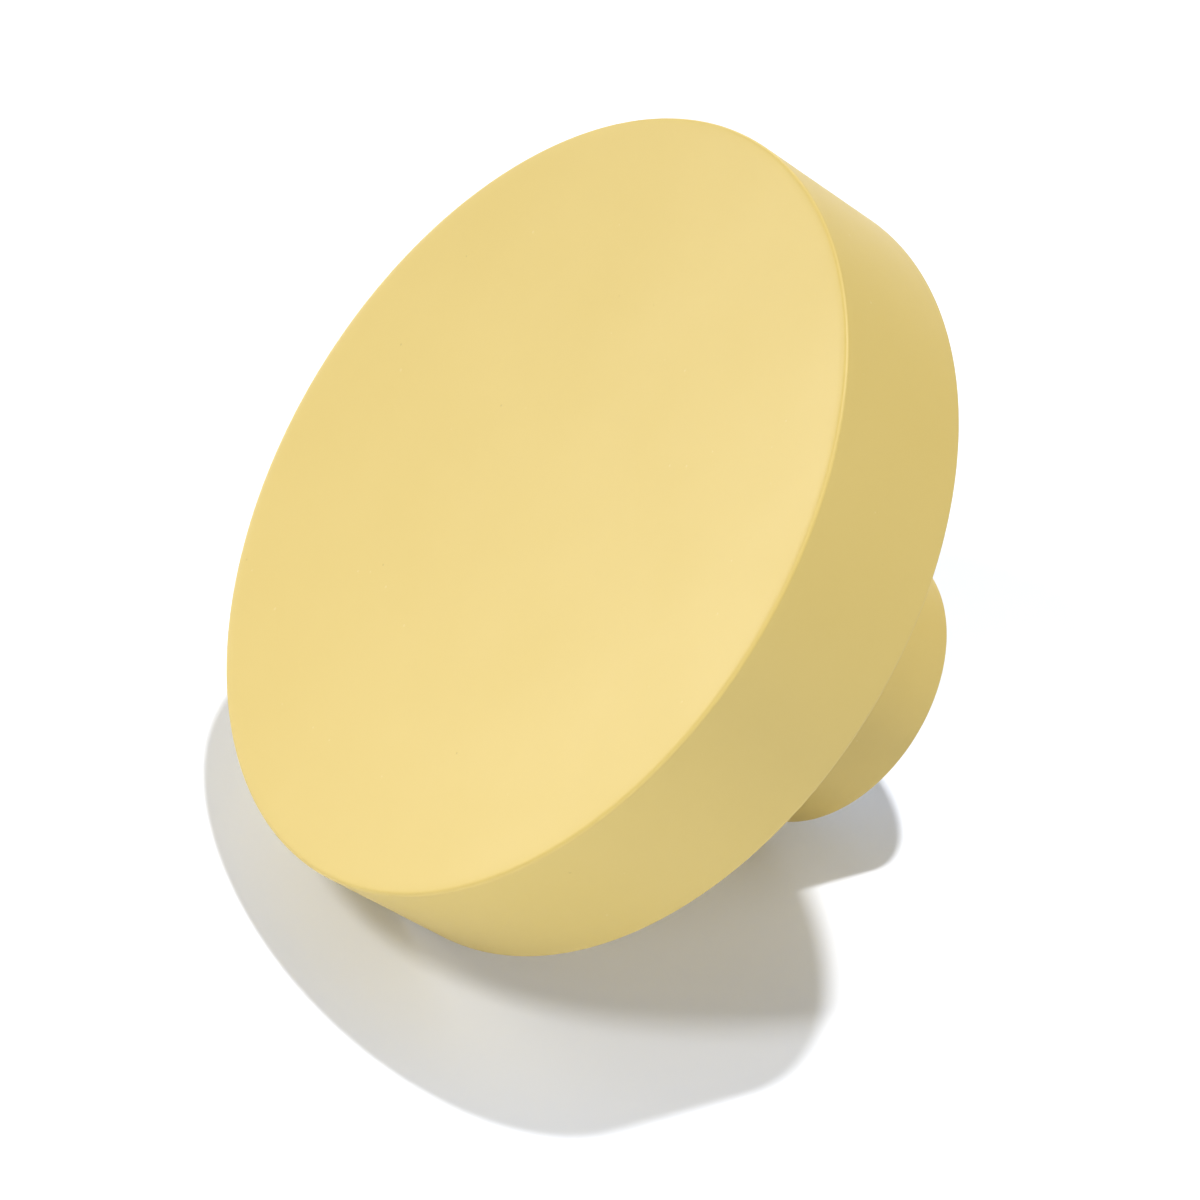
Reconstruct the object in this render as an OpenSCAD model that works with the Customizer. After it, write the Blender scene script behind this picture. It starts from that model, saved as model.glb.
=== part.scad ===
// Disc-headed wall hook with a concealed fixing.
// A boss is screwed to the wall. The hook slides over it and a grub screw under the stem locks
// it there, in a groove around the boss. Coats, towels and bag straps hang over the stem.
// The wall is the plane z = 0, +Z points out of the wall and +Y points up along it.

/* [Head] */
// Diameter of the head
head_d = 80; // [60:1:130]
// Thickness of the head at its rim
head_t = 16; // [14:0.5:17]
// Depth of the dished front at its middle
dish_depth = 2; // [0.5:0.1:3]
// Flat ring left between the dish and the rounded edge
rim_land = 0.15; // [0:0.05:1]
// Radius of the broken edges
edge_r = 0.3; // [0.1:0.05:1]

/* [Stem] */
// Diameter of the stem
stem_d = 30; // [30:1:40]
// Distance from the wall to the front rim of the head
reach = 45; // [45:1:70]

/* [Wall boss] */
// Diameter of the socket in the stem that takes the boss
socket_d = 20; // [18:0.5:20]
// Height of the boss off the wall
boss_h = 12; // [11:0.5:13]
// Diameter of the hole for the wall screw
wall_screw_hole_d = 5.5; // [4:0.5:6]
// Depth of the groove around the boss
groove_depth = 1.3; // [1.2:0.1:1.6]

/* [Fixings] */
// Thread diameter of the joining screw
screw_d = 6; // [5, 6]
// Length of the joining screw under its head
screw_len = 16; // [12, 16]
// Diameter of the dowel pin
pin_d = 3; // [2, 3]
// Length of the dowel pin
pin_len = 8; // [6, 8]
// Thread diameter of the grub screw
grub_d = 4; // [3, 4]
// Length of the grub screw over its point
grub_len = 4; // [3.5:0.1:4.5]

/* [Hidden] */
$fn = 96;
fine_fn = 1440;
eps = 0.01;

lacquer = [0.96, 0.84, 0.55];
bare_aluminium = [0.80, 0.81, 0.82];
zinc_steel = [0.72, 0.73, 0.76];
black_steel = [0.18, 0.18, 0.19];

// Clearances of pieces that slide, and of pieces that are driven or screwed home
running_gap = 0.05;
thread_gap = 0.03;
snug_gap = 0.01;
wall_gap = 0.5;

// The head sits on a short spigot on the end of the stem
stem_h = reach - head_t;
spigot_d = 18;
spigot_h = 2.5;
joint_z = stem_h + spigot_h;
dish_rim_r = head_d / 2 - edge_r - rim_land;
dish_r = (dish_rim_r * dish_rim_r + dish_depth * dish_depth) / (2 * dish_depth);
tapped_h = 7.5;

// Joining screw: a socket cap screw, with its head and washer sunk in the stem
screw_head_d = screw_d + 4;
screw_head_h = screw_d;
screw_socket_af = screw_d - 1;
screw_socket_h = screw_d / 2;
screw_hole_d = screw_d + 0.6;
washer_t = 1.6;
washer_id = screw_d + 0.1;
washer_od = screw_d + 3.9;
washer_slot = 0.8;
counterbore_d = screw_head_d + 1;
screw_engaged = 5.9;
screw_tip_z = joint_z + screw_engaged;
screw_seat_z = screw_tip_z - screw_len;
counterbore_z = screw_seat_z + washer_t;

// Dowel pin: keeps the head from turning on the stem
pin_x = 6;
pin_z = joint_z - pin_len / 2;
pin_end_gap = 0.4;

// Wall boss
boss_r = socket_d / 2 - running_gap;
socket_h = boss_h + wall_gap;
groove_z = boss_h / 2 + 0.5;
boss_base_edge = 0.3;
boss_lead_edge = 0.5;
countersink_r = wall_screw_hole_d;
countersink_h = countersink_r - wall_screw_hole_d / 2;
socket_lead = 0.3;

// Grub screw: its point stands just clear of the boss, backed off far enough to let it slide
grub_r = grub_d / 2 - thread_gap;
grub_point_y = boss_r + 0.25;
grub_point_r = 0.3;
grub_cone_h = grub_r - grub_point_r;
grub_end_y = grub_point_y + grub_len;
grub_socket_af = grub_d / 2;
grub_socket_h = 1.6;
grub_end_edge = 0.25;

// Radius of the corners of a hexagon with the given width across its flats
function hex_corner_r(across_flats) = across_flats / 2 / cos(30);

// Half section of a round bar from z0 to z1 with both outer edges rounded
module rounded_bar(r, z0, z1, edge) {
    translate([0, z0]) square([r - edge, z1 - z0]);
    translate([0, z0 + edge]) square([r, z1 - z0 - 2 * edge]);
    translate([r - edge, z0 + edge]) circle(r = edge, $fn = 48);
    translate([r - edge, z1 - edge]) circle(r = edge, $fn = 48);
}

// Hole from z0 to z1, running a hair past both ends
module hole(d, z0, z1) {
    translate([0, 0, z0 - eps]) cylinder(d = d, h = z1 - z0 + 2 * eps);
}

// Hexagon socket sunk from z = 0 down to -h, with its chamfered mouth
module hex_socket(across_flats, h) {
    corner_r = hex_corner_r(across_flats);
    translate([0, 0, -h]) cylinder(r = corner_r, h = h + eps, $fn = 6);
    translate([0, 0, -corner_r * 0.3]) {
        cylinder(r1 = corner_r * 0.86, r2 = corner_r * 1.17, h = corner_r * 0.31);
    }
}

// Round plate with a dished front, a recess for the spigot, a tapped hole and a pin hole
module head_disc() {
    color(lacquer) difference() {
        rotate_extrude() difference() {
            rounded_bar(head_d / 2, stem_h, reach, edge_r);
            translate([0, reach - dish_depth + dish_r]) circle(r = dish_r, $fn = fine_fn);
        }
        hole(spigot_d + 2 * snug_gap, stem_h, joint_z);
        hole(screw_d, joint_z, joint_z + tapped_h);
        translate([pin_x, 0, 0]) hole(pin_d, joint_z, pin_z + pin_len + pin_end_gap);
    }
}

// Round bar with the boss socket at the wall, a stepped screw hole and the spigot at the head
module stem() {
    color(lacquer) difference() {
        union() {
            rotate_extrude() rounded_bar(stem_d / 2, 0, stem_h, edge_r);
            cylinder(d = spigot_d, h = joint_z - eps);
        }
        hole(socket_d, 0, socket_h);
        translate([0, 0, -eps]) {
            cylinder(
                r1 = socket_d / 2 + socket_lead + eps,
                r2 = socket_d / 2,
                h = socket_lead + eps
            );
        }
        hole(counterbore_d, socket_h, counterbore_z);
        hole(screw_hole_d, counterbore_z, joint_z);
        translate([pin_x, 0, 0]) hole(pin_d, pin_z - pin_end_gap, joint_z);
        translate([0, 0, groove_z]) rotate([90, 0, 0]) cylinder(d = grub_d, h = stem_d);
    }
}

// Cap screw that pulls the head down on the stem, driven from the socket side
module joining_screw() {
    head_end_z = screw_seat_z - screw_head_h;
    shank_r = screw_d / 2 - thread_gap;
    head_r = screw_head_d / 2;
    color(black_steel) difference() {
        rotate_extrude() polygon([
            [0, head_end_z],
            [head_r - 0.5, head_end_z],
            [head_r, head_end_z + 0.5],
            [head_r, screw_seat_z],
            [shank_r, screw_seat_z],
            [shank_r, screw_tip_z - 0.7],
            [shank_r - 0.7, screw_tip_z],
            [0, screw_tip_z]
        ]);
        translate([0, 0, head_end_z]) mirror([0, 0, 1]) hex_socket(screw_socket_af, screw_socket_h);
    }
}

// Split washer under the screw's head
module spring_washer() {
    color(zinc_steel) translate([0, 0, screw_seat_z]) difference() {
        cylinder(d = washer_od, h = washer_t - snug_gap);
        hole(washer_id, 0, washer_t);
        translate([0, -washer_slot / 2, -eps]) {
            cube([washer_od, washer_slot, washer_t + 2 * eps]);
        }
    }
}

// Parallel pin with chamfered ends, half in the stem and half in the head
module dowel_pin() {
    r = pin_d / 2 - snug_gap;
    end_edge = 0.4;
    color(zinc_steel) translate([pin_x, 0, pin_z]) rotate_extrude() polygon([
        [0, 0],
        [r - end_edge, 0],
        [r, end_edge],
        [r, pin_len - end_edge],
        [r - end_edge, pin_len],
        [0, pin_len]
    ]);
}

// Plug that is screwed to the wall, with a countersunk hole and the groove for the grub screw
module wall_boss() {
    hole_r = wall_screw_hole_d / 2;
    color(bare_aluminium) rotate_extrude() polygon([
        [hole_r, 0],
        [boss_r - boss_base_edge, 0],
        [boss_r, boss_base_edge],
        [boss_r, groove_z - groove_depth],
        [boss_r - groove_depth, groove_z],
        [boss_r, groove_z + groove_depth],
        [boss_r, boss_h - boss_lead_edge],
        [boss_r - boss_lead_edge, boss_h],
        [countersink_r, boss_h],
        [hole_r, boss_h - countersink_h]
    ]);
}

// Cone point set screw in the underside of the stem
module grub_screw() {
    color(black_steel) translate([0, 0, groove_z]) rotate([90, 0, 0]) difference() {
        rotate_extrude() polygon([
            [0, grub_point_y],
            [grub_point_r, grub_point_y],
            [grub_r, grub_point_y + grub_cone_h],
            [grub_r, grub_end_y - grub_end_edge],
            [grub_r - grub_end_edge, grub_end_y],
            [0, grub_end_y]
        ]);
        translate([0, 0, grub_end_y]) hex_socket(grub_socket_af, grub_socket_h);
    }
}

head_disc();
stem();
joining_screw();
spring_washer();
dowel_pin();
wall_boss();
grub_screw();
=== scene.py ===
"""Looks of a disc-headed wall hook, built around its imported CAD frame.

The wall is the plane z = 0 and +Z points out of it. The hook isn't on a wall here: it lies tilted on
a pale table, on the back rim of its head and on the edge of its stem's end. All lengths are metres.
"""

import math

import bmesh
import bpy
from mathutils import Matrix, Vector


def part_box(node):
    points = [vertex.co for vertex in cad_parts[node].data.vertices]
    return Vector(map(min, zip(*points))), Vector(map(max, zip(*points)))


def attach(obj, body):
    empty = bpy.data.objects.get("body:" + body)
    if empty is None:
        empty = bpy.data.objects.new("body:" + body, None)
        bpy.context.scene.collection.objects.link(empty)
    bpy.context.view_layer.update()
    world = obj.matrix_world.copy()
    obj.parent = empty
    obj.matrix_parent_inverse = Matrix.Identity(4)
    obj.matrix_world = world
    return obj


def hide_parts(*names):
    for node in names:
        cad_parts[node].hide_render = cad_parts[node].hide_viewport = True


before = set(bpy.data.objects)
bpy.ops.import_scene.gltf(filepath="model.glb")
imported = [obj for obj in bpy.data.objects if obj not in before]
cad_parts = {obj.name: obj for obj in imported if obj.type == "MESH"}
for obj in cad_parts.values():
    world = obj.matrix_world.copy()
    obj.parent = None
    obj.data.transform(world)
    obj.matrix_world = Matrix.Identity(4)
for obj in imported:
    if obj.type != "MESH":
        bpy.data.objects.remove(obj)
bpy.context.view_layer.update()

MM = 0.001
MICRON = 0.000001

# ---------------------------------------------------------------- sizes, from the frame


def round_node(node):
    """Radius across X, and lowest and highest z, of a node that is round about the Z axis."""
    low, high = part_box(node)
    return (high[0] - low[0]) / 2, low[2], high[2]


HEAD_R, HEAD_BACK_Z, HEAD_FRONT_Z = round_node("head_disc")
STEM_R, STEM_END_Z, JOINT_Z = round_node("stem")
BOSS_R, BOSS_BASE_Z, BOSS_TOP_Z = round_node("wall_boss")
SCREW_HEAD_R, SCREW_HEAD_Z, SCREW_TIP_Z = round_node("joining_screw")
WASHER_R, WASHER_LOW_Z, WASHER_HIGH_Z = round_node("spring_washer")
PIN_LOW, PIN_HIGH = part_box("dowel_pin")
GRUB_LOW, GRUB_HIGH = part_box("grub_screw")

EDGE_R = 0.3 * MM
RIM_LAND = 0.15 * MM
DISH_DEPTH = 2.0 * MM
SPIGOT_R = 9.0 * MM
SOCKET_R = BOSS_R + 0.05 * MM
SOCKET_TOP_Z = BOSS_TOP_Z + 0.5 * MM
SOCKET_LEAD = 0.3 * MM
COUNTERBORE_R = SCREW_HEAD_R + 0.5 * MM
SCREW_SEAT_Z = WASHER_LOW_Z
COUNTERBORE_Z = WASHER_HIGH_Z + 0.01 * MM
SCREW_R = 2.97 * MM
SCREW_HOLE_R = 3.3 * MM
TAPPED_R = 3.0 * MM
TAPPED_H = 7.5 * MM
PIN_R = (PIN_HIGH[0] - PIN_LOW[0]) / 2
PIN_X = (PIN_HIGH[0] + PIN_LOW[0]) / 2
PIN_END_GAP = 0.4 * MM
WALL_HOLE_R = 2.75 * MM
GROOVE_DEPTH = 1.3 * MM
GRUB_R = (GRUB_HIGH[0] - GRUB_LOW[0]) / 2
GRUB_Z = (GRUB_HIGH[2] + GRUB_LOW[2]) / 2
GRUB_HOLE_R = GRUB_R + 0.03 * MM

FINE_TURN = 256
SMALL_TURN = 96

# ---------------------------------------------------------------- mesh making


def arc(centre_r, centre_z, radius, start, end, steps):
    """Points of an arc in the r-z plane, from start to end degrees, counted from +r towards +z."""
    points = []
    for i in range(steps + 1):
        a = math.radians(start + (end - start) * i / steps)
        points.append((centre_r + radius * math.cos(a), centre_z + radius * math.sin(a)))
    return points


def supported(profile, inset, longest):
    """The profile with points added near the ends of its long runs, and along them at most longest
    apart, so that smooth shading stays flat on flat runs."""
    out = [profile[0]]
    for (r0, z0), (r1, z1) in zip(profile, profile[1:]):
        run = math.hypot(r1 - r0, z1 - z0)
        if run > 4 * inset:
            steps = max(1, math.ceil((run - 2 * inset) / longest))
            for i in range(steps + 1):
                t = (inset + (run - 2 * inset) * i / steps) / run
                out.append((r0 + (r1 - r0) * t, z0 + (z1 - z0) * t))
        out.append((r1, z1))
    return out


def lathe(profile, turn):
    """A bmesh turned about Z from a profile that starts and ends on the axis, or closes on itself."""
    made = bmesh.new()
    rings = []
    for r, z in profile:
        if r < 1e-9:
            rings.append([made.verts.new((0, 0, z))])
            continue
        rings.append([
            made.verts.new((r * math.cos(a), r * math.sin(a), z))
            for a in (2 * math.pi * i / turn for i in range(turn))
        ])
    pairs = list(zip(rings, rings[1:]))
    if len(rings[0]) > 1:
        pairs.append((rings[-1], rings[0]))
    for low, high in pairs:
        for i in range(turn):
            j = (i + 1) % turn
            corners = [low[i % len(low)], low[j % len(low)], high[j % len(high)], high[i % len(high)]]
            made.faces.new(list(dict.fromkeys(corners)))
    bmesh.ops.recalc_face_normals(made, faces=made.faces)
    return made


def new_piece(name, made, smooth_angle=35):
    """Turns a bmesh into an object at the origin, smooth except at edges sharper than the angle."""
    mesh = bpy.data.meshes.new(name)
    made.to_mesh(mesh)
    made.free()
    piece = bpy.data.objects.new(name, mesh)
    bpy.context.scene.collection.objects.link(piece)
    soften(piece, smooth_angle)
    return piece


def soften(piece, smooth_angle=35):
    """Smooth shading, broken at edges sharper than the angle."""
    for face in piece.data.polygons:
        face.use_smooth = True
    piece.data.set_sharp_from_angle(angle=math.radians(smooth_angle))


def baked_down(piece):
    """Replaces the piece's mesh with what its modifiers make of it, and removes them."""
    shown = piece.evaluated_get(bpy.context.evaluated_depsgraph_get())
    mesh = bpy.data.meshes.new_from_object(shown)
    old = piece.data
    piece.modifiers.clear()
    piece.data = mesh
    bpy.data.meshes.remove(old)


def cut(piece, cutter):
    """Takes the cutter's solid out of the piece, and deletes the cutter."""
    modifier = piece.modifiers.new("cut", "BOOLEAN")
    modifier.operation = "DIFFERENCE"
    modifier.solver = "EXACT"
    modifier.object = cutter
    baked_down(piece)
    bpy.data.objects.remove(cutter)
    soften(piece)


def turned(piece, matrix):
    """Moves the mesh of a piece, and leaves its object at the origin."""
    piece.data.transform(matrix)
    piece.data.update()


def rod(name, radius, low_z, high_z, turn=SMALL_TURN):
    """Plain cylinder about Z, used as a cutter."""
    return new_piece(name, lathe([(0, low_z), (radius, low_z), (radius, high_z), (0, high_z)], turn))


def hex_cutter(name, across_flats, depth):
    """Cutter for a hexagon socket that opens at z = 0 and goes down: prism, drill cone and chamfer."""
    corner = across_flats / 2 / math.cos(math.radians(30))
    over = 0.4 * corner
    prism = lathe([(0, -depth), (corner, -depth), (corner, over), (0, over)], 6)
    cutter = new_piece(name, prism)
    bore = across_flats / 2 * 0.97
    cone = [(0, -depth - bore * 0.5), (bore, -depth), (bore, 0), (0, 0)]
    mouth = [
        (0, -0.3 * corner),
        (0.86 * corner, -0.3 * corner),
        (1.17 * corner, 0),
        (1.17 * corner, over),
        (0, over),
    ]
    for part in (cone, mouth):
        other = new_piece(name + "_part", lathe(part, SMALL_TURN))
        modifier = cutter.modifiers.new("join", "BOOLEAN")
        modifier.operation = "UNION"
        modifier.solver = "EXACT"
        modifier.object = other
        baked_down(cutter)
        bpy.data.objects.remove(other)
    return cutter


# ---------------------------------------------------------------- Geometry Nodes


class Tree:
    """A short way to place and join the nodes of a node tree."""

    def __init__(self, tree):
        self.tree = tree

    def add(self, kind, inputs=(), **settings):
        """Adds a node, sets its properties, then links or sets its inputs by name or number."""
        node = self.tree.nodes.new(kind)
        for key, value in settings.items():
            setattr(node, key, value)
        for key, value in dict(inputs).items():
            self.feed(node.inputs[key], value)
        return node

    def feed(self, socket, value):
        """Links an output to the socket, or sets the socket's own value."""
        if isinstance(value, bpy.types.NodeSocket):
            self.tree.links.new(value, socket)
        else:
            socket.default_value = value

    def math(self, operation, *values):
        """Output of a Math node."""
        node = self.add("ShaderNodeMath", operation=operation)
        for socket, value in zip(node.inputs, values):
            self.feed(socket, value)
        return node.outputs[0]

    def radius(self, xyz):
        """Distance from the Z axis, given the outputs of a Separate XYZ node."""
        squares = [self.math("MULTIPLY", side, side) for side in (xyz[0], xyz[1])]
        return self.math("SQRT", self.math("ADD", *squares))


def group_with(name, kind, sockets):
    """A new node group. sockets lists (name, "INPUT" or "OUTPUT", socket type, default)."""
    group = bpy.data.node_groups.new(name, kind)
    for label, side, socket_type, default in sockets:
        socket = group.interface.new_socket(name=label, in_out=side, socket_type=socket_type)
        if default is not None:
            socket.default_value = default
    return group


def scored_round_tree():
    """Geometry Nodes that cut grooves into a round bar: a thread, where the groove climbs, or a
    straight knurl, where it doesn't. It moves the points that lie near the bar's own radius."""
    group = group_with("scored_round", "GeometryNodeTree", [
        ("Geometry", "INPUT", "NodeSocketGeometry", None),
        ("Radius", "INPUT", "NodeSocketFloat", 3 * MM),
        ("Depth", "INPUT", "NodeSocketFloat", 0.5 * MM),
        ("Low", "INPUT", "NodeSocketFloat", 0.0),
        ("High", "INPUT", "NodeSocketFloat", 10 * MM),
        ("Fade", "INPUT", "NodeSocketFloat", 0.5 * MM),
        ("Turns per Metre", "INPUT", "NodeSocketFloat", 1000.0),
        ("Grooves Around", "INPUT", "NodeSocketFloat", -1.0),
        ("Material", "INPUT", "NodeSocketMaterial", None),
        ("Geometry", "OUTPUT", "NodeSocketGeometry", None),
    ])
    t = Tree(group)
    given = t.add("NodeGroupInput").outputs
    place = t.add("GeometryNodeInputPosition").outputs[0]
    xyz = t.add("ShaderNodeSeparateXYZ", {0: place}).outputs
    radius = t.radius(xyz)
    around = t.math("DIVIDE", t.math("ARCTAN2", xyz[1], xyz[0]), 2 * math.pi)
    phase = t.math(
        "ADD",
        t.math("MULTIPLY", xyz[2], given["Turns per Metre"]),
        t.math("MULTIPLY", around, given["Grooves Around"]),
    )
    # A V between flat crests: 0 on the crest, 1 at the root
    wave = t.math("PINGPONG", phase, 0.5)
    vee = t.math("MULTIPLY", wave, 2.0)
    vee = t.add("ShaderNodeMapRange", {0: vee, 1: 0.12, 2: 0.88, 3: 0.0, 4: 1.0}, clamp=True).outputs[0]
    rise = t.math("DIVIDE", t.math("SUBTRACT", xyz[2], given["Low"]), given["Fade"])
    fall = t.math("DIVIDE", t.math("SUBTRACT", given["High"], xyz[2]), given["Fade"])
    fade = t.math("MINIMUM", rise, fall)
    fade = t.add("ShaderNodeClamp", {0: fade}).outputs[0]
    inwards = t.math("MULTIPLY", t.math("MULTIPLY", vee, fade), given["Depth"])
    off = t.math("SUBTRACT", 1.0, t.math("DIVIDE", inwards, radius))
    gap = t.math("ABSOLUTE", t.math("SUBTRACT", radius, given["Radius"]))
    near = t.math("LESS_THAN", gap, 0.02 * MM)
    moved = t.add("ShaderNodeCombineXYZ", {
        0: t.math("MULTIPLY", xyz[0], off),
        1: t.math("MULTIPLY", xyz[1], off),
        2: xyz[2],
    }).outputs[0]
    cut_bar = t.add("GeometryNodeSetPosition", {
        "Geometry": given["Geometry"], "Selection": near, "Position": moved,
    }).outputs[0]
    real = t.add("GeometryNodeRealizeInstances", {0: cut_bar}).outputs[0]
    painted = t.add("GeometryNodeSetMaterial", {"Geometry": real, "Material": given["Material"]})
    t.add("NodeGroupOutput", {0: painted.outputs[0]})
    return group


def split_ring_tree():
    """Geometry Nodes for a split washer: a rounded bar swept round most of a circle, with its ends
    sprung a little apart along the axis."""
    group = group_with("split_ring", "GeometryNodeTree", [
        ("Geometry", "INPUT", "NodeSocketGeometry", None),
        ("Mean Radius", "INPUT", "NodeSocketFloat", 4 * MM),
        ("Bar Width", "INPUT", "NodeSocketFloat", 1.9 * MM),
        ("Bar Height", "INPUT", "NodeSocketFloat", 1.5 * MM),
        ("Gap Angle", "INPUT", "NodeSocketFloat", 0.1),
        ("Corner", "INPUT", "NodeSocketFloat", 0.12 * MM),
        ("Mid Height", "INPUT", "NodeSocketFloat", 0.0),
        ("Material", "INPUT", "NodeSocketMaterial", None),
        ("Geometry", "OUTPUT", "NodeSocketGeometry", None),
    ])
    t = Tree(group)
    given = t.add("NodeGroupInput").outputs
    sweep = t.math("SUBTRACT", 2 * math.pi, given["Gap Angle"])
    path = t.add("GeometryNodeCurveArc", {
        "Resolution": 97, "Radius": given["Mean Radius"],
        "Start Angle": t.math("MULTIPLY", given["Gap Angle"], 0.5), "Sweep Angle": sweep,
    }).outputs["Curve"]
    lift = t.add("ShaderNodeCombineXYZ", {0: 0.0, 1: 0.0, 2: given["Mid Height"]}).outputs[0]
    raised = t.add("GeometryNodeSetPosition", {"Geometry": path, "Offset": lift}).outputs[0]
    bar = t.add("GeometryNodeCurvePrimitiveQuadrilateral", {
        "Width": given["Bar Width"], "Height": given["Bar Height"],
    }).outputs[0]
    eased = t.add("GeometryNodeFilletCurve", {
        "Curve": bar, "Radius": given["Corner"], "Limit Radius": True, "Count": 4,
    }, mode="POLY").outputs[0]
    ring = t.add("GeometryNodeCurveToMesh", {
        "Curve": raised, "Profile Curve": eased, "Fill Caps": True,
    }).outputs[0]
    real = t.add("GeometryNodeRealizeInstances", {0: ring}).outputs[0]
    painted = t.add("GeometryNodeSetMaterial", {"Geometry": real, "Material": given["Material"]})
    t.add("NodeGroupOutput", {0: painted.outputs[0]})
    return group


def run_tree(piece, tree, values):
    """Runs a Geometry Nodes tree on the piece with the given inputs, and keeps the result."""
    modifier = piece.modifiers.new(tree.name, "NODES")
    modifier.node_group = tree
    for item in tree.interface.items_tree:
        if item.item_type == "SOCKET" and item.in_out == "INPUT" and item.name in values:
            modifier[item.identifier] = values[item.name]
    baked_down(piece)


# ---------------------------------------------------------------- shader groups


def speckle_group():
    """Tiny round pits or nibs scattered over a surface. Mask is 1 inside one, and Height is its bowl."""
    group = group_with("speckle", "ShaderNodeTree", [
        ("Vector", "INPUT", "NodeSocketVector", None),
        ("Spacing", "INPUT", "NodeSocketFloat", 1.0 * MM),
        ("Size", "INPUT", "NodeSocketFloat", 0.1 * MM),
        ("Share", "INPUT", "NodeSocketFloat", 0.5),
        ("Mask", "OUTPUT", "NodeSocketFloat", None),
        ("Height", "OUTPUT", "NodeSocketFloat", None),
    ])
    t = Tree(group)
    given = t.add("NodeGroupInput").outputs
    density = t.math("DIVIDE", 1.0, given["Spacing"])
    cells = t.add("ShaderNodeTexVoronoi", {
        "Vector": given["Vector"], "Scale": density, "Randomness": 1.0,
    }, feature="F1").outputs
    reach = t.math("MULTIPLY", cells["Distance"], given["Spacing"])
    lot = t.add("ShaderNodeSeparateColor", {0: cells["Color"]}).outputs
    kept = t.math("LESS_THAN", lot[0], given["Share"])
    # Each speck has its own size, from a third of Size up to Size
    size = t.math("MULTIPLY", given["Size"], t.math("MULTIPLY_ADD", lot[1], 0.67, 0.33))
    bowl = t.math("SUBTRACT", 1.0, t.math("DIVIDE", reach, size))
    bowl = t.add("ShaderNodeClamp", {0: bowl}).outputs[0]
    bowl = t.math("MULTIPLY", bowl, kept)
    mask = t.math("GREATER_THAN", bowl, 0.02)
    t.add("NodeGroupOutput", {"Mask": mask, "Height": bowl})
    return group


def mottle_group():
    """Slow unevenness of a finish: two sizes of cloud, centred on 0 and at most about 0.5 each way."""
    group = group_with("mottle", "ShaderNodeTree", [
        ("Vector", "INPUT", "NodeSocketVector", None),
        ("Patch", "INPUT", "NodeSocketFloat", 8 * MM),
        ("Cloud", "OUTPUT", "NodeSocketFloat", None),
    ])
    t = Tree(group)
    given = t.add("NodeGroupInput").outputs
    clouds = t.add("ShaderNodeTexNoise", {
        "Vector": given["Vector"], "Scale": t.math("DIVIDE", 1.0, given["Patch"]), "Detail": 3.0,
    }).outputs[0]
    t.add("NodeGroupOutput", {"Cloud": t.math("SUBTRACT", clouds, 0.5)})
    return group


def tool_rings_group():
    """Fine rings that a lathe tool leaves: across a face they count by radius, along a wall by z."""
    group = group_with("tool_rings", "ShaderNodeTree", [
        ("Vector", "INPUT", "NodeSocketVector", None),
        ("Feed", "INPUT", "NodeSocketFloat", 0.12 * MM),
        ("Height", "OUTPUT", "NodeSocketFloat", None),
    ])
    t = Tree(group)
    given = t.add("NodeGroupInput").outputs
    xyz = t.add("ShaderNodeSeparateXYZ", {0: given["Vector"]}).outputs
    radius = t.radius(xyz)
    along = t.math("DIVIDE", t.math("ADD", radius, xyz[2]), given["Feed"])
    ridge = t.math("MULTIPLY", t.math("PINGPONG", along, 0.5), 2.0)
    uneven = t.add("ShaderNodeTexNoise", {
        "W": t.math("MULTIPLY", along, 0.37), "Scale": 1.0, "Detail": 2.0,
    }, noise_dimensions="1D").outputs[0]
    t.add("NodeGroupOutput", {"Height": t.math("ADD", t.math("MULTIPLY", ridge, 0.5), uneven)})
    return group


def edge_wear_and_painted_highlight_group():
    """Mask of the outer edges of a dense mesh, broken up by fine noise: where a finish rubs through, and
    on bare metal a painted highlight along the edges.
    """
    group = group_with("worn_edge", "ShaderNodeTree", [
        ("Vector", "INPUT", "NodeSocketVector", None),
        ("Start", "INPUT", "NodeSocketFloat", 0.54),
        ("Full", "INPUT", "NodeSocketFloat", 0.62),
        ("Mask", "OUTPUT", "NodeSocketFloat", None),
    ])
    t = Tree(group)
    given = t.add("NodeGroupInput").outputs
    edge = t.add("ShaderNodeNewGeometry").outputs["Pointiness"]
    noise = t.add("ShaderNodeTexNoise", {
        "Vector": given["Vector"], "Scale": 2500.0, "Detail": 3.0,
    }).outputs[0]
    edge = t.math("ADD", edge, t.math("MULTIPLY", t.math("SUBTRACT", noise, 0.5), 0.08))
    mask = t.add("ShaderNodeMapRange", {
        0: edge, 1: given["Start"], 2: given["Full"], 3: 0.0, 4: 1.0,
    }, clamp=True)
    t.add("NodeGroupOutput", {"Mask": mask.outputs[0]})
    return group


SPECKLE = speckle_group()
MOTTLE = mottle_group()
TOOL_RINGS = tool_rings_group()
EDGE_WEAR_AND_PAINTED_HIGHLIGHT = edge_wear_and_painted_highlight_group()

# ---------------------------------------------------------------- materials

LACQUER_YELLOW = (0.594, 0.447, 0.128, 1)
LACQUER_DEEP = (0.578, 0.433, 0.119, 1)
NIB_PALE = (0.66, 0.54, 0.26, 1)
# painted shade for the bottoms of the pin holes
PIT_PAINTED_SHADE = (0.34, 0.23, 0.05, 1)
LACQUER_ROUGHNESS = 0.50
PEEL_HEIGHT = 4 * MICRON
NIB_HEIGHT = 25 * MICRON
RING_HEIGHT = 7 * MICRON
ALUMINIUM = (0.78, 0.785, 0.79, 1)
ALUMINIUM_DULL = (0.60, 0.605, 0.61, 1)
BLACK_OXIDE_AND_PIT_SHADE = (0.018, 0.018, 0.020, 1)
WORN_STEEL = (0.42, 0.42, 0.43, 1)
ZINC = (0.62, 0.64, 0.67, 1)
ZINC_CLOUDED = (0.50, 0.52, 0.56, 1)


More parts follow.
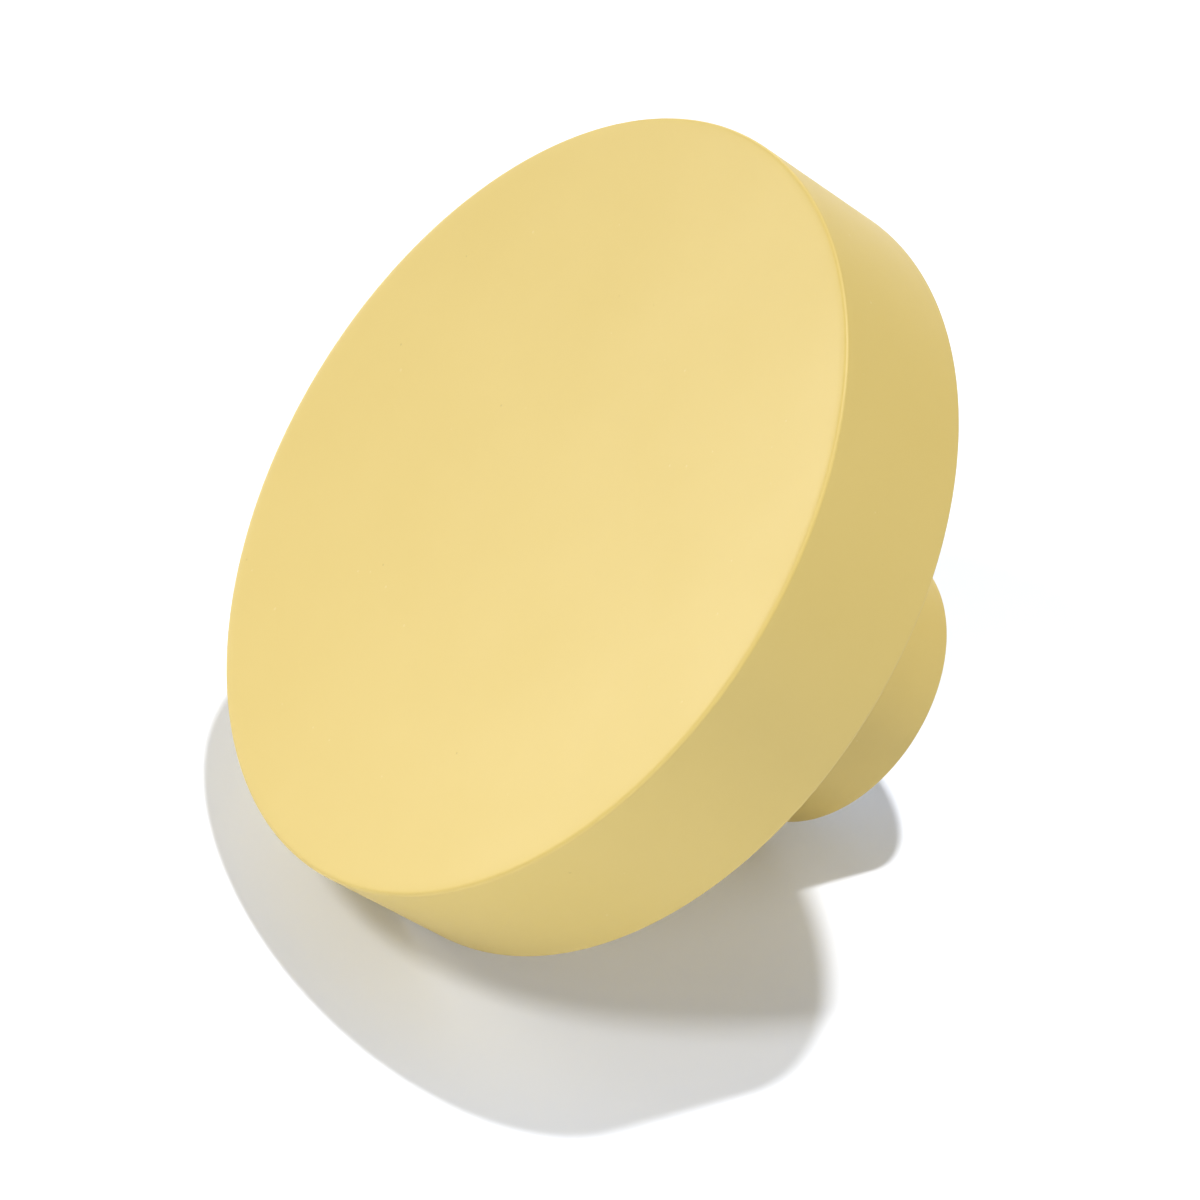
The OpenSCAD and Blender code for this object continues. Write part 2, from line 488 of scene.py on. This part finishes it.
class Finish(Tree):
    """A material under construction, with its Principled shader and Object coordinates at hand."""

    def __init__(self, name):
        self.material = bpy.data.materials.new(name)
        self.material.use_nodes = True
        super().__init__(self.material.node_tree)
        self.shader = self.tree.nodes["Principled BSDF"]
        self.place = self.add("ShaderNodeTexCoord").outputs["Object"]

    def group(self, group, **values):
        """Outputs of a shader group, given its values by name with spaces as underscores."""
        node = self.add("ShaderNodeGroup", node_tree=group)
        self.feed(node.inputs["Vector"], self.place)
        for key, value in values.items():
            self.feed(node.inputs[key.replace("_", " ")], value)
        return node.outputs

    def blend(self, mask, first, second):
        """Colour that goes from first to second as the mask goes from 0 to 1."""
        node = self.add("ShaderNodeMix", data_type="RGBA", clamp_factor=True)
        for key, value in (("Factor_Float", mask), ("A_Color", first), ("B_Color", second)):
            self.feed(next(s for s in node.inputs if s.identifier == key), value)
        return next(s for s in node.outputs if s.identifier == "Result_Color")

    def scaled(self, value, gain, offset=0.0):
        """value times gain, plus offset."""
        return self.math("MULTIPLY_ADD", value, gain, offset)

    def bump(self, height, distance, normal=None):
        """Normal bent by a height, where 1 stands for the distance in metres."""
        node = self.add("ShaderNodeBump", {"Height": height, "Distance": distance, "Strength": 1.0})
        if normal is not None:
            self.feed(node.inputs["Normal"], normal)
        return node.outputs[0]

    def set(self, **values):
        """Sets or links the shader's sockets, given by name with spaces as underscores."""
        for key, value in values.items():
            self.feed(self.shader.inputs[key.replace("_", " ")], value)
        return self.material


def lacquer_layers(f):
    """Cloud, nibs, pits with painted shade, orange peel and colour of the sprayed satin lacquer."""
    cloud = f.group(MOTTLE, Patch=14 * MM)["Cloud"]
    nibs = f.group(SPECKLE, Spacing=2.6 * MM, Size=0.17 * MM, Share=0.5)
    pits = f.group(SPECKLE, Spacing=3.7 * MM, Size=0.2 * MM, Share=0.35)
    peel = f.add("ShaderNodeTexNoise", {
        "Vector": f.place, "Scale": 900.0, "Detail": 2.0,
    }).outputs[0]
    colour = f.blend(f.scaled(cloud, 1.2, 0.5), LACQUER_YELLOW, LACQUER_DEEP)
    colour = f.blend(f.scaled(nibs["Mask"], 0.35), colour, NIB_PALE)
    # painted shade: each pin hole is painted darker towards the bottom of its bowl
    colour = f.blend(f.scaled(pits["Height"], 0.6), colour, PIT_PAINTED_SHADE)
    return cloud, nibs["Height"], pits["Height"], peel, colour


def satin_lacquer():
    """Sprayed satin lacquer: slight clouding, orange peel, rare dust nibs, and pin holes darkened with
    painted shade.
    """
    f = Finish("satin_yellow_lacquer")
    cloud, nibs, pits, peel, colour = lacquer_layers(f)
    normal = f.bump(peel, PEEL_HEIGHT)
    normal = f.bump(nibs, NIB_HEIGHT, normal)
    normal = f.bump(f.scaled(pits, -1.0), 40 * MICRON, normal)
    return f.set(
        Base_Color=colour,
        Roughness=f.scaled(cloud, 0.08, LACQUER_ROUGHNESS),
        Specular_IOR_Level=0.5,
        Normal=normal,
    )


def turned_aluminium():
    """Bare aluminium off the lathe: bright rings, duller clouds, a painted highlight along the outer
    edges and a few pits darkened with painted shade.
    """
    f = Finish("turned_aluminium")
    cloud = f.group(MOTTLE, Patch=3 * MM)["Cloud"]
    rings = f.group(TOOL_RINGS, Feed=0.14 * MM)["Height"]
    pits = f.group(SPECKLE, Spacing=0.9 * MM, Size=0.08 * MM, Share=0.3)
    wear_and_painted_highlight = f.group(EDGE_WEAR_AND_PAINTED_HIGHLIGHT, Start=0.53, Full=0.60)["Mask"]
    colour = f.blend(f.scaled(cloud, 1.4, 0.5), ALUMINIUM, ALUMINIUM_DULL)
    # painted highlight: the outer edges of the bare aluminium are painted in its brighter colour
    colour = f.blend(wear_and_painted_highlight, colour, ALUMINIUM)
    # painted shade: the pits in the bare aluminium are painted near black
    colour = f.blend(f.scaled(pits["Mask"], 0.5), colour, BLACK_OXIDE_AND_PIT_SHADE)
    normal = f.bump(rings, RING_HEIGHT)
    normal = f.bump(f.scaled(pits["Height"], -1.0), 20 * MICRON, normal)
    return f.set(
        Base_Color=colour,
        Metallic=1.0,
        Roughness=f.scaled(cloud, 0.25, 0.32),
        Normal=normal,
    )


def black_oxide_steel():
    """Blackened screw steel: oily black with bright metal where edges have rubbed."""
    f = Finish("black_oxide_steel")
    cloud = f.group(MOTTLE, Patch=1.5 * MM)["Cloud"]
    pits = f.group(SPECKLE, Spacing=0.5 * MM, Size=0.06 * MM, Share=0.4)
    wear_and_painted_highlight = f.group(EDGE_WEAR_AND_PAINTED_HIGHLIGHT, Start=0.56, Full=0.68)["Mask"]
    colour = f.blend(f.scaled(wear_and_painted_highlight, 0.55), BLACK_OXIDE_AND_PIT_SHADE, WORN_STEEL)
    normal = f.bump(f.scaled(pits["Height"], -1.0), 12 * MICRON)
    return f.set(
        Base_Color=colour,
        Metallic=1.0,
        Roughness=f.scaled(cloud, 0.3, 0.38),
        Normal=normal,
    )


def zinc_steel():
    """Zinc plated steel: bluish, clouded and lightly grained."""
    f = Finish("zinc_steel")
    cloud = f.group(MOTTLE, Patch=1.2 * MM)["Cloud"]
    rings = f.group(TOOL_RINGS, Feed=0.09 * MM)["Height"]
    colour = f.blend(f.scaled(cloud, 1.6, 0.5), ZINC, ZINC_CLOUDED)
    return f.set(
        Base_Color=colour,
        Metallic=1.0,
        Roughness=f.scaled(cloud, 0.25, 0.36),
        Normal=f.bump(rings, 3 * MICRON),
    )


def lacquered_aluminium(name, bare_radius):
    """The lacquer outside, and bare turned aluminium within the given radius of the axis, where
    the bores were plugged before spraying."""
    f = Finish(name)
    xyz = f.add("ShaderNodeSeparateXYZ", {0: f.place}).outputs
    radius = f.radius(xyz)
    ragged = f.add("ShaderNodeTexNoise", {"Vector": f.place, "Scale": 700.0, "Detail": 3.0}).outputs[0]
    line = f.math("ADD", radius, f.scaled(ragged, 0.3 * MM, -0.15 * MM))
    bare = f.add("ShaderNodeMapRange", {
        0: line, 1: bare_radius - 0.03 * MM, 2: bare_radius + 0.03 * MM, 3: 1.0, 4: 0.0,
    }, clamp=True).outputs[0]
    rings = f.group(TOOL_RINGS, Feed=0.14 * MM)["Height"]
    cloud, nibs, _, peel, paint = lacquer_layers(f)
    covered = f.math("SUBTRACT", 1.0, bare)
    normal = f.bump(f.math("MULTIPLY", peel, covered), PEEL_HEIGHT)
    normal = f.bump(f.math("MULTIPLY", nibs, covered), NIB_HEIGHT, normal)
    normal = f.bump(f.math("MULTIPLY", rings, bare), RING_HEIGHT, normal)
    return f.set(
        Base_Color=f.blend(bare, paint, ALUMINIUM),
        Metallic=bare,
        Roughness=f.math("ADD", f.scaled(cloud, 0.08, LACQUER_ROUGHNESS), f.scaled(bare, -0.16)),
        Specular_IOR_Level=0.5,
        Normal=normal,
    )


# ---------------------------------------------------------------- pieces


def make_head(material):
    """Round plate: dished front inside a thin flat rim, rounded edges, recess and tapped hole."""
    rim_r = HEAD_R - EDGE_R
    dish_rim_r = rim_r - RIM_LAND
    dish_r = (dish_rim_r ** 2 + DISH_DEPTH ** 2) / (2 * DISH_DEPTH)
    dish_z = HEAD_FRONT_Z - DISH_DEPTH + dish_r
    sweep = math.degrees(math.asin(dish_rim_r / dish_r))
    back = supported([
        (0, JOINT_Z + TAPPED_H),
        (TAPPED_R, JOINT_Z + TAPPED_H),
        (TAPPED_R, JOINT_Z),
        (SPIGOT_R + 0.01 * MM, JOINT_Z),
        (SPIGOT_R + 0.01 * MM, HEAD_BACK_Z),
        (rim_r, HEAD_BACK_Z),
    ], 0.15 * MM, 4 * MM)
    side = supported([
        arc(rim_r, HEAD_BACK_Z + EDGE_R, EDGE_R, -90, 0, 8)[-1],
        arc(rim_r, HEAD_FRONT_Z - EDGE_R, EDGE_R, 0, 90, 8)[0],
    ], 0.15 * MM, 4 * MM)
    profile = [
        *back,
        *arc(rim_r, HEAD_BACK_Z + EDGE_R, EDGE_R, -90, 0, 8)[1:-1],
        *side,
        *arc(rim_r, HEAD_FRONT_Z - EDGE_R, EDGE_R, 0, 90, 8)[1:],
        *arc(0, dish_z, dish_r, sweep - 90, -90, 60)[:-1],
        (0, HEAD_FRONT_Z - DISH_DEPTH),
    ]
    head = new_piece("head", lathe(profile, FINE_TURN))
    pin_hole = rod("pin_hole", PIN_R + 0.01 * MM, JOINT_Z - 0.5 * MM, PIN_HIGH[2] + PIN_END_GAP)
    turned(pin_hole, Matrix.Translation((PIN_X, 0, 0)))
    cut(head, pin_hole)
    head.data.materials.append(material)
    return head


def make_stem(material):
    """Round bar with the socket for the boss, the stepped screw hole, the spigot and the grub hole."""
    rim_r = STEM_R - EDGE_R
    profile = supported([
        (SCREW_HOLE_R, COUNTERBORE_Z),
        (COUNTERBORE_R, COUNTERBORE_Z),
        (COUNTERBORE_R, SOCKET_TOP_Z),
        (SOCKET_R, SOCKET_TOP_Z),
        (SOCKET_R, SOCKET_LEAD),
        (SOCKET_R + SOCKET_LEAD, STEM_END_Z),
        (rim_r, STEM_END_Z),
    ], 0.15 * MM, 2 * MM)
    profile += arc(rim_r, STEM_END_Z + EDGE_R, EDGE_R, -90, 0, 8)[1:-1]
    side = [(STEM_R, STEM_END_Z + EDGE_R), (STEM_R, HEAD_BACK_Z - EDGE_R)]
    profile += supported(side, 0.15 * MM, 2 * MM)
    profile += arc(rim_r, HEAD_BACK_Z - EDGE_R, EDGE_R, 0, 90, 8)[1:]
    profile += [(SPIGOT_R, HEAD_BACK_Z), (SPIGOT_R, JOINT_Z), (SCREW_HOLE_R, JOINT_Z)]
    stem = new_piece("hook_stem", lathe(profile, FINE_TURN))
    pin_hole = rod("pin_hole", PIN_R + 0.01 * MM, PIN_LOW[2] - PIN_END_GAP, JOINT_Z + 1 * MM)
    turned(pin_hole, Matrix.Translation((PIN_X, 0, 0)))
    cut(stem, pin_hole)
    lead = 0.25 * MM
    mouth_z = STEM_R - 0.35 * MM
    grub_hole = new_piece("grub_hole", lathe([
        (0, SOCKET_R - 2 * MM),
        (GRUB_HOLE_R, SOCKET_R - 2 * MM),
        (GRUB_HOLE_R, mouth_z),
        (GRUB_HOLE_R + lead + 0.6 * MM, mouth_z + lead + 0.6 * MM),
        (0, mouth_z + lead + 0.6 * MM),
    ], SMALL_TURN))
    turned(grub_hole, Matrix.Translation((0, 0, GRUB_Z)) @ Matrix.Rotation(math.radians(90), 4, "X"))
    cut(stem, grub_hole)
    stem.data.materials.clear()
    stem.data.materials.append(material)
    return stem


def make_boss(material):
    """Plug with a lead edge, the groove for the grub screw and a countersunk hole."""
    groove_z = GRUB_Z
    sink_r = 2 * WALL_HOLE_R
    groove = 0.08 * MM
    profile = supported([
        (WALL_HOLE_R, BOSS_BASE_Z),
        (BOSS_R - 0.3 * MM, BOSS_BASE_Z),
        (BOSS_R, BOSS_BASE_Z + 0.3 * MM),
        (BOSS_R, groove_z - GROOVE_DEPTH),
        (BOSS_R - GROOVE_DEPTH + groove, groove_z - groove),
        (BOSS_R - GROOVE_DEPTH + groove, groove_z + groove),
        (BOSS_R, groove_z + GROOVE_DEPTH),
        (BOSS_R, BOSS_TOP_Z - 0.5 * MM),
        (BOSS_R - 0.5 * MM, BOSS_TOP_Z),
        (sink_r, BOSS_TOP_Z),
        (WALL_HOLE_R, BOSS_TOP_Z - sink_r + WALL_HOLE_R),
    ], 0.05 * MM, 0.6 * MM)
    boss = new_piece("boss", lathe(profile, FINE_TURN))
    boss.data.materials.append(material)
    return boss


def make_joining_screw(material, scored):
    """Socket cap screw: knurled head, hexagon socket and a rolled thread on its shank."""
    under = SCREW_SEAT_Z
    head_profile = [
        (0, SCREW_HEAD_Z),
        (SCREW_HEAD_R - 0.5 * MM, SCREW_HEAD_Z),
        *arc(SCREW_HEAD_R - 0.5 * MM, SCREW_HEAD_Z + 0.5 * MM, 0.5 * MM, -90, 0, 6)[1:],
        *[(SCREW_HEAD_R, SCREW_HEAD_Z + (0.7 + 0.5 * i) * MM) for i in range(10)],
        (SCREW_HEAD_R, under - 0.2 * MM),
        (SCREW_HEAD_R - 0.2 * MM, under),
        (SCREW_R, under),
    ]
    tip = SCREW_TIP_Z - 0.7 * MM
    steps = round((tip - under) / (0.07 * MM))
    shank = [(SCREW_R, under + (tip - under) * i / steps) for i in range(1, steps + 1)]
    end = [(SCREW_R - 0.7 * MM, SCREW_TIP_Z), (0, SCREW_TIP_Z)]
    screw = new_piece("cap_screw", lathe([*head_profile, *shank, *end], SMALL_TURN))
    run_tree(screw, scored, {
        "Radius": SCREW_R, "Depth": 0.55 * MM, "Low": under + 0.6 * MM, "High": tip + 0.2 * MM,
        "Fade": 0.4 * MM, "Turns per Metre": 1000.0, "Grooves Around": -1.0, "Material": material,
    })
    run_tree(screw, scored, {
        "Radius": SCREW_HEAD_R, "Depth": 0.12 * MM,
        "Low": SCREW_HEAD_Z + 0.6 * MM, "High": under - 0.3 * MM,
        "Fade": 0.3 * MM, "Turns per Metre": 0.0, "Grooves Around": 48.0, "Material": material,
    })
    socket = hex_cutter("screw_socket", 5.0 * MM, 3.0 * MM)
    turned(socket, Matrix.Translation((0, 0, SCREW_HEAD_Z)) @ Matrix.Rotation(math.pi, 4, "X"))
    cut(screw, socket)
    screw.data.materials.clear()
    screw.data.materials.append(material)
    return screw


def make_washer(material, split_ring):
    """Split washer with rounded corners."""
    bar_width = WASHER_R - 3.05 * MM
    blank = bmesh.new()
    washer = new_piece("split_washer", blank)
    run_tree(washer, split_ring, {
        "Mean Radius": WASHER_R - bar_width / 2,
        "Bar Width": bar_width,
        "Bar Height": WASHER_HIGH_Z - WASHER_LOW_Z,
        "Gap Angle": 0.2,
        "Corner": 0.12 * MM,
        "Mid Height": (WASHER_LOW_Z + WASHER_HIGH_Z) / 2,
        "Material": material,
    })
    soften(washer)
    return washer


def make_pin(material):
    """Parallel dowel pin with rounded ends."""
    low, high = PIN_LOW[2], PIN_HIGH[2]
    end = 0.4 * MM
    profile = [
        (0, low),
        *arc(PIN_R - end, low + end, end, -90, 0, 6),
        *arc(PIN_R - end, high - end, end, 0, 90, 6),
        (0, high),
    ]
    pin = new_piece("pin", lathe(supported(profile, 0.1 * MM, 1 * MM), SMALL_TURN))
    turned(pin, Matrix.Translation((PIN_X, 0, 0)))
    pin.data.materials.append(material)
    return pin


def make_grub_screw(material, scored):
    """Set screw with a cone point, a fine thread and a hexagon socket, made along Z and then turned
    to point at the boss."""
    point, end = -GRUB_HIGH[1], -GRUB_LOW[1]
    point_r = 0.3 * MM
    cone_end = point + GRUB_R - point_r
    top = end - 0.25 * MM
    steps = round((top - cone_end) / (0.05 * MM))
    profile = [(0, point), (point_r, point)]
    profile += [
        (point_r + (GRUB_R - point_r) * i / 8, point + (cone_end - point) * i / 8) for i in range(1, 9)
    ]
    profile += [(GRUB_R, cone_end + (top - cone_end) * i / steps) for i in range(1, steps + 1)]
    profile += [(GRUB_R - 0.25 * MM, end), (0, end)]
    grub = new_piece("set_screw", lathe(profile, SMALL_TURN))
    run_tree(grub, scored, {
        "Radius": GRUB_R, "Depth": 0.36 * MM, "Low": cone_end - 0.1 * MM, "High": top + 0.2 * MM,
        "Fade": 0.25 * MM, "Turns per Metre": 1000.0 / 0.7, "Grooves Around": -1.0, "Material": material,
    })
    socket = hex_cutter("grub_socket", 2.0 * MM, 1.5 * MM)
    turned(socket, Matrix.Translation((0, 0, end)))
    cut(grub, socket)
    turned(grub, Matrix.Translation((0, 0, GRUB_Z)) @ Matrix.Rotation(math.radians(90), 4, "X"))
    grub.data.materials.clear()
    grub.data.materials.append(material)
    return grub


def build_hook():
    """Makes every piece, and says which body it rides on, which node it shows and its finish."""
    scored = scored_round_tree()
    split_ring = split_ring_tree()
    black = black_oxide_steel()
    zinc = zinc_steel()
    rows = [
        (make_head(satin_lacquer()), "hook", "head_disc", "yellow_lacquer"),
        (make_stem(lacquered_aluminium("lacquer_over_aluminium", SOCKET_R + 0.45 * MM)), "hook", "stem",
         "yellow_lacquer"),
        (make_joining_screw(black, scored), "hook", "joining_screw", "black_steel"),
        (make_washer(zinc, split_ring), "hook", "spring_washer", "zinc_steel"),
        (make_pin(zinc), "hook", "dowel_pin", "zinc_steel"),
        (make_boss(turned_aluminium()), "wall_fixing", "wall_boss", "bare_aluminium"),
        (make_grub_screw(black, scored), "lock", "grub_screw", "black_steel"),
    ]
    for piece, body, node, slot in rows:
        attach(piece, body)
        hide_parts(node)


# ---------------------------------------------------------------- table, light and camera

# The hook touches the table at the side that is turned this far from +X towards -Y
LIE_TURN = math.radians(16.7)
LIE_SIDE = Vector((math.cos(LIE_TURN), -math.sin(LIE_TURN), 0))
# The table touches the stem's end edge and the head's back rim on that side
SLOPE = Vector((HEAD_R - STEM_R, HEAD_BACK_Z - STEM_END_Z)).normalized()
TABLE_UP = (LIE_SIDE * -SLOPE[1] + Vector((0, 0, SLOPE[0]))).normalized()
TABLE_POINT = LIE_SIDE * STEM_R + Vector((0, 0, STEM_END_Z))
EDGE_RELIEF = EDGE_R * (SLOPE[0] + SLOPE[1] - 1)
TABLE_SIZE = 6.0
TABLE_LIGHT = (0.850, 0.882, 0.955, 1)
TABLE_SHADE = (0.838, 0.870, 0.942, 1)

CAMERA_DISTANCE = 0.470
CAMERA_LENS = 150
CAMERA_TILT = math.radians(38.45)
CAMERA_ROLL = math.radians(-59.6)
CAMERA_AIM_RIGHT = 7.4 * MM
CAMERA_AIM_DOWN = 9.6 * MM

# Directions towards the lights, in the hook's own frame
KEY_TO = Vector((-0.861, 0.156, 0.485))
OVERHEAD_TO = Vector((-0.203, 0.148, 0.968))
BACK_RIM_TO = Vector((-0.652, -0.751, -0.108))
SIDE_TO = Vector((-0.903, 0.413, 0.120))
RIGHT_TO = Vector((-0.718, 0.626, -0.304))
LOW_TO = Vector((0.735, 0.615, -0.287))
FRONT_TO = Vector((0.435, 0.603, 0.669))
SHEEN_TO = Vector((0, -0.940, 0.342))

# The surround lights the hook weakly, and looks paler than that from past the table's edge
SURROUND_LIGHT = 0.22
SURROUND_SEEN = 0.85


def table_paper():
    """Near white table, faintly blue and uneven, whose underside is clear to sight and light."""
    f = Finish("table_paper")
    cloud = f.group(MOTTLE, Patch=60 * MM)["Cloud"]
    f.set(
        Base_Color=f.blend(f.scaled(cloud, 1.0, 0.5), TABLE_LIGHT, TABLE_SHADE),
        Roughness=0.9,
        Specular_IOR_Level=0.0,
    )
    from_below = f.add("ShaderNodeNewGeometry").outputs["Backfacing"]
    clear = f.add("ShaderNodeBsdfTransparent").outputs[0]
    either = f.add("ShaderNodeMixShader", {0: from_below, 1: f.shader.outputs[0], 2: clear}).outputs[0]
    f.tree.links.new(either, f.tree.nodes["Material Output"].inputs["Surface"])
    return f.material


def make_table():
    """One large sheet under the hook, square to TABLE_UP."""
    across = TABLE_UP.orthogonal().normalized()
    along = TABLE_UP.cross(across)
    centre = TABLE_POINT + TABLE_UP * EDGE_RELIEF
    made = bmesh.new()
    corners = [(-1, -1), (1, -1), (1, 1), (-1, 1)]
    made.faces.new([
        made.verts.new(centre + (across * x + along * y) * TABLE_SIZE / 2) for x, y in corners
    ])
    table = new_piece("table", made)
    if table.data.polygons[0].normal.dot(TABLE_UP) < 0:
        table.data.flip_normals()
    table.data.materials.append(table_paper())


def aimed_light(name, kind, towards, distance):
    """A light that shines at the middle of the hook from the given direction."""
    data = bpy.data.lights.new(name, kind)
    light = bpy.data.objects.new(name, data)
    bpy.context.scene.collection.objects.link(light)
    middle = Vector((0, 0, (STEM_END_Z + HEAD_FRONT_Z) / 2))
    way = towards.normalized()
    turn = way.to_track_quat("Z", "Y").to_matrix().to_4x4()
    light.matrix_world = Matrix.Translation(middle + way * distance) @ turn
    return data


def far_light(name, towards, strength, spread):
    """A light so far off that it is as strong all over the scene. spread is its width in degrees."""
    data = aimed_light(name, "SUN", towards, 1.0)
    data.energy = strength
    data.angle = math.radians(spread)


def soft_box(name, towards, distance, width, power):
    """A round soft box close to the hook, which is stronger on the side that it is near."""
    data = aimed_light(name, "AREA", towards, distance)
    data.shape = "DISK"
    data.size = width
    data.energy = power
    bpy.data.objects[name].visible_camera = False


def make_lights():
    """A fairly hard key, a softer overhead light, four wide fills, and two soft boxes close by."""
    far_light("key", KEY_TO, 2.3, 3)
    far_light("overhead", OVERHEAD_TO, 1.1, 10)
    far_light("back_rim", BACK_RIM_TO, 0.8, 40)
    far_light("side", SIDE_TO, 0.15, 40)
    far_light("right", RIGHT_TO, 0.42, 40)
    far_light("low", LOW_TO, 0.85, 40)
    soft_box("front", FRONT_TO, 0.35, 0.2, 0.35)
    soft_box("sheen", SHEEN_TO, 0.5, 0.12, 0.85)
    world = bpy.data.worlds.new("surround")
    world.use_nodes = True
    background = world.node_tree.nodes["Background"]
    background.inputs["Color"].default_value = (1, 1, 1, 1)
    t = Tree(world.node_tree)
    seen = t.add("ShaderNodeLightPath").outputs["Is Camera Ray"]
    strength = t.math("MULTIPLY_ADD", seen, SURROUND_SEEN - SURROUND_LIGHT, SURROUND_LIGHT)
    t.feed(background.inputs["Strength"], strength)
    bpy.context.scene.world = world


def make_camera():
    """Long lens on the +Y side of the hook, tipped down on the head and rolled as it lies."""
    data = bpy.data.cameras.new("camera")
    data.lens = CAMERA_LENS
    data.sensor_width = 36
    data.clip_start = 0.01
    data.clip_end = 20
    camera = bpy.data.objects.new("camera", data)
    bpy.context.scene.collection.objects.link(camera)
    back = Vector((0, math.cos(CAMERA_TILT), math.sin(CAMERA_TILT)))
    level = Vector((0, 0, 1)).cross(back).normalized()
    upright = back.cross(level)
    right = level * math.cos(CAMERA_ROLL) + upright * math.sin(CAMERA_ROLL)
    up = back.cross(right)
    face = Vector((0, 0, HEAD_FRONT_Z))
    place = face + back * CAMERA_DISTANCE + right * CAMERA_AIM_RIGHT - up * CAMERA_AIM_DOWN
    turn = Matrix((right, up, back)).transposed().to_4x4()
    camera.matrix_world = Matrix.Translation(place) @ turn
    bpy.context.scene.camera = camera


build_hook()
make_table()
make_lights()
make_camera()
bpy.context.scene.view_settings.view_transform = "Standard"
bpy.context.view_layer.update()
